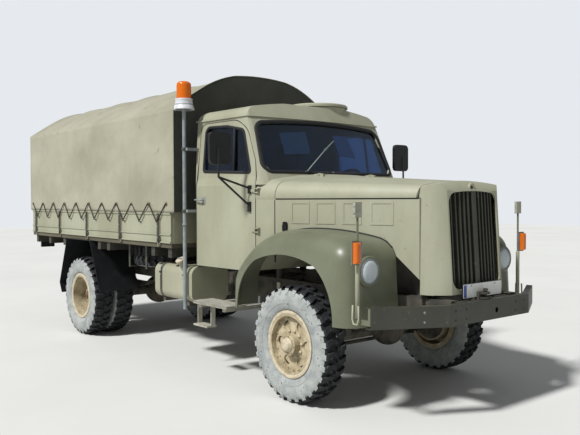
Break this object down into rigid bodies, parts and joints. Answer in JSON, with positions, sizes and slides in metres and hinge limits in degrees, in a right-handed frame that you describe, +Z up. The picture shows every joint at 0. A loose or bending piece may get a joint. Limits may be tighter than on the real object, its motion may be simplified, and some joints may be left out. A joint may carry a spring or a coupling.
{
  "type": "military cargo truck",
  "caption": "Four-wheel-drive army truck with a long bonnet, closed cab, canvas-covered cargo bed, opening doors, hatch, bonnet and tailgate, steered front wheels.",
  "frame": {"origin": "on the ground, midway along the length and the width, bottom centre of the bounding box", "axes": "+X forward along the truck's length, +Y to its left, +Z up"},
  "size_m": [7.37, 2.72, 3.158],
  "materials": {
    "olive_paint": "matt, faded",
    "dark_olive_paint": "matt",
    "chassis_paint": "matt, dusty",
    "cast_iron": "rough",
    "exhaust_steel": "dull",
    "radiator_metal": "matt",
    "lamp_bowl": "matt",
    "lamp_glass": "clear",
    "window_glass": "clear",
    "orange_plastic": "glossy",
    "red_plastic": "glossy",
    "black_paint": "satin",
    "seat_cover": "worn",
    "bed_planks": "weathered",
    "canvas": "coarse, faded",
    "pole_metal": "satin",
    "tyre_rubber": "dusty",
    "rim_paint": "dusty"
  },
  "bodies": {
    "chassis": {"frame": "chassis_paint", "front_bumper": "dark_olive_paint", "tow_fittings": "chassis_paint", "axles": "chassis_paint", "leaf_springs": "chassis_paint", "engine_block": "cast_iron", "gearbox_and_shafts": "cast_iron", "exhaust": "exhaust_steel", "radiator": "radiator_metal", "radiator_shell": "olive_paint", "grille": "dark_olive_paint", "bonnet_sides": "olive_paint", "front_wings": "olive_paint", "headlights": "lamp_bowl", "headlight_glass": "lamp_glass", "marker_rods": "black_paint", "indicators": "orange_plastic", "tail_lamps": "red_plastic", "cab_body": "olive_paint", "cab_roof": "olive_paint", "cab_glass": "window_glass", "seats": "seat_cover", "dashboard": "black_paint", "steering_wheel": "black_paint", "running_boards": "olive_paint", "fuel_tank": "olive_paint", "spare_tyre": "tyre_rubber", "spare_rim": "rim_paint", "spare_carrier": "dark_olive_paint", "bed_frame": "chassis_paint", "bed_floor": "bed_planks", "bed_walls": "olive_paint", "tarp": "canvas", "rear_mudguards": "olive_paint", "beacon_stand": "pole_metal", "beacon_dome": "orange_plastic"},
    "bonnet": {"bonnet_lid": "olive_paint"},
    "hatch": {"roof_hatch": "olive_paint"},
    "tailgate": {"tailgate": "olive_paint"},
    "track_rod": {"track_rod": "chassis_paint"},
    "door_left": {"door_left": "olive_paint", "door_glass_left": "window_glass", "mirror_left": "black_paint"},
    "knuckle_left": {"knuckle_left": "chassis_paint"},
    "front_wheel_left": {"front_tyre_left": "tyre_rubber", "front_rim_left": "rim_paint"},
    "rear_wheels_left": {"rear_tyres_left": "tyre_rubber", "rear_rims_left": "rim_paint"},
    "door_right": {"door_right": "olive_paint", "door_glass_right": "window_glass", "mirror_right": "black_paint"},
    "knuckle_right": {"knuckle_right": "chassis_paint"},
    "front_wheel_right": {"front_tyre_right": "tyre_rubber", "front_rim_right": "rim_paint"},
    "rear_wheels_right": {"rear_tyres_right": "tyre_rubber", "rear_rims_right": "rim_paint"}
  },
  "joints": [
    {"name": "bonnet_hinge", "type": "hinge", "parent": "chassis", "child": "bonnet", "pos_m": [1.993, 0, 1.998], "axis": [0, -1, 0], "range_deg": [0, 55]},
    {"name": "hatch_hinge", "type": "hinge", "parent": "chassis", "child": "hatch", "pos_m": [0.902, 0.29, 2.758], "axis": [0, -1, 0], "range_deg": [0, 85]},
    {"name": "tailgate_hinge", "type": "hinge", "parent": "chassis", "child": "tailgate", "pos_m": [-3.668, 0, 1.29], "axis": [0, -1, 0], "range_deg": [0, 175]},
    {"name": "door_left_hinge", "type": "hinge", "parent": "chassis", "child": "door_left", "pos_m": [1.756, 0.96, 1.655], "axis": [0, 0, -1], "range_deg": [0, 70]},
    {"name": "door_right_hinge", "type": "hinge", "parent": "chassis", "child": "door_right", "pos_m": [1.756, -0.96, 1.655], "axis": [0, 0, 1], "range_deg": [0, 70]},
    {"name": "steer_left", "type": "hinge", "parent": "chassis", "child": "knuckle_left", "pos_m": [2.371, 0.78, 0.505], "axis": [0, 0, 1], "range_deg": [-32, 32]},
    {"name": "steer_right", "type": "hinge", "parent": "chassis", "child": "knuckle_right", "pos_m": [2.371, -0.78, 0.505], "axis": [0, 0, 1], "range_deg": [-32, 32]},
    {"name": "track_rod_pivot", "type": "hinge", "parent": "knuckle_left", "child": "track_rod", "pos_m": [2.161, 0.78, 0.368], "axis": [0, 0, 1], "range_deg": [-32, 32]},
    {"name": "front_wheel_left_spin", "type": "hinge", "parent": "knuckle_left", "child": "front_wheel_left", "pos_m": [2.371, 0.947, 0.505], "axis": [0, 1, 0], "continuous": true},
    {"name": "front_wheel_right_spin", "type": "hinge", "parent": "knuckle_right", "child": "front_wheel_right", "pos_m": [2.371, -0.947, 0.505], "axis": [0, 1, 0], "continuous": true},
    {"name": "rear_wheels_left_spin", "type": "hinge", "parent": "chassis", "child": "rear_wheels_left", "pos_m": [-1.829, 0.9025, 0.505], "axis": [0, 1, 0], "continuous": true},
    {"name": "rear_wheels_right_spin", "type": "hinge", "parent": "chassis", "child": "rear_wheels_right", "pos_m": [-1.829, -0.9025, 0.505], "axis": [0, 1, 0], "continuous": true}
  ],
  "couplings": [
    {"joint": "steer_right", "follows": "steer_left", "ratio": 1},
    {"joint": "track_rod_pivot", "follows": "steer_left", "ratio": -1}
  ]
}
